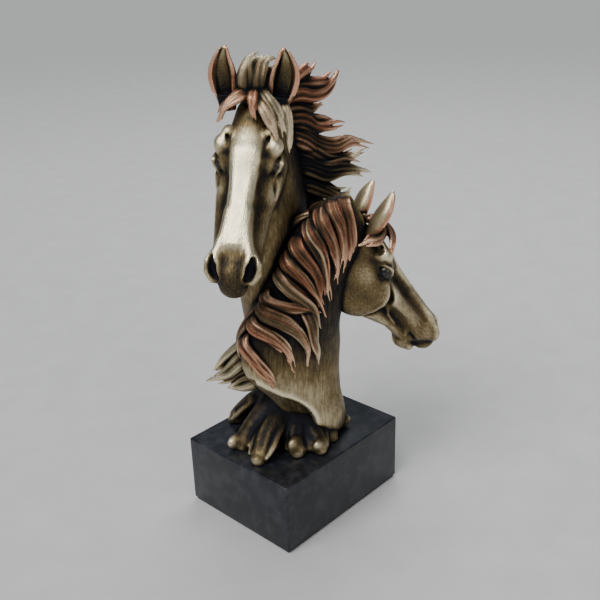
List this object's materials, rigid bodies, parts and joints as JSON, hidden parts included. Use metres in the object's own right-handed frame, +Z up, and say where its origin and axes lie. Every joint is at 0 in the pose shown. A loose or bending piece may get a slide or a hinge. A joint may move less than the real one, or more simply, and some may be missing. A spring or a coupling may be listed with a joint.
{
  "type": "horse bust statue",
  "caption": "Bronze-finish statue of two horse heads with wind-blown manes, a stallion behind a mare, rising from a root-like base on a black rectangular plinth.",
  "frame": {"origin": "centre of the felt pad's underside", "axes": "+Z up, +X along the plinth's long side towards the mare's muzzle, -Y towards the plinth's front"},
  "size_m": [0.1186, 0.0811, 0.2269],
  "materials": {
    "bronze_patina": "brushed, dark in the hollows",
    "bronze_copper_hair": "brushed, copper on the ridges",
    "plinth_lacquer": "satin black paint",
    "felt": "felt",
    "zinc_steel": "zinc plated"
  },
  "bodies": {
    "root": {"felt_pad": "felt", "fixing_screws": "zinc_steel", "fixing_washers": "zinc_steel", "mare_cheek_lock": "bronze_copper_hair", "mare_crest_lock": "bronze_copper_hair", "mare_eyes": "bronze_patina", "mare_far_lock_1": "bronze_copper_hair", "mare_far_lock_2": "bronze_copper_hair", "mare_far_lock_3": "bronze_copper_hair", "mare_flick_lock": "bronze_copper_hair", "mare_flick_lower": "bronze_copper_hair", "mare_flick_upper": "bronze_copper_hair", "mare_forelock": "bronze_copper_hair", "mare_head": "bronze_patina", "mare_left_ear": "bronze_patina", "mare_lower_lock": "bronze_copper_hair", "mare_middle_lock": "bronze_copper_hair", "mare_neck": "bronze_patina", "mare_poll_lock": "bronze_copper_hair", "mare_right_ear": "bronze_patina", "mare_shoulder_lock": "bronze_copper_hair", "mare_side_lock": "bronze_copper_hair", "mare_sweep_lock": "bronze_copper_hair", "mare_throat_lock": "bronze_copper_hair", "mare_upper_lock": "bronze_copper_hair", "plinth_block": "plinth_lacquer", "root_base": "bronze_patina", "spreading_roots": "bronze_patina", "stallion_back_lock_1": "bronze_copper_hair", "stallion_back_lock_2": "bronze_copper_hair", "stallion_back_lock_3": "bronze_copper_hair", "stallion_back_lock_4": "bronze_copper_hair", "stallion_back_lock_5": "bronze_copper_hair", "stallion_back_lock_6": "bronze_copper_hair", "stallion_crown_hook": "bronze_copper_hair", "stallion_crown_lock": "bronze_copper_hair", "stallion_eyes": "bronze_patina", "stallion_forelock": "bronze_copper_hair", "stallion_head": "bronze_patina", "stallion_left_ear": "bronze_patina", "stallion_long_lock": "bronze_copper_hair", "stallion_lower_lock": "bronze_copper_hair", "stallion_middle_lock": "bronze_copper_hair", "stallion_nape_lock": "bronze_copper_hair", "stallion_neck": "bronze_patina", "stallion_right_ear": "bronze_patina", "stallion_side_lock": "bronze_copper_hair", "stallion_temple_lock": "bronze_copper_hair", "stallion_topknot": "bronze_copper_hair", "stallion_under_lock": "bronze_copper_hair", "stallion_upper_lock": "bronze_copper_hair"}
  },
  "joints": []
}
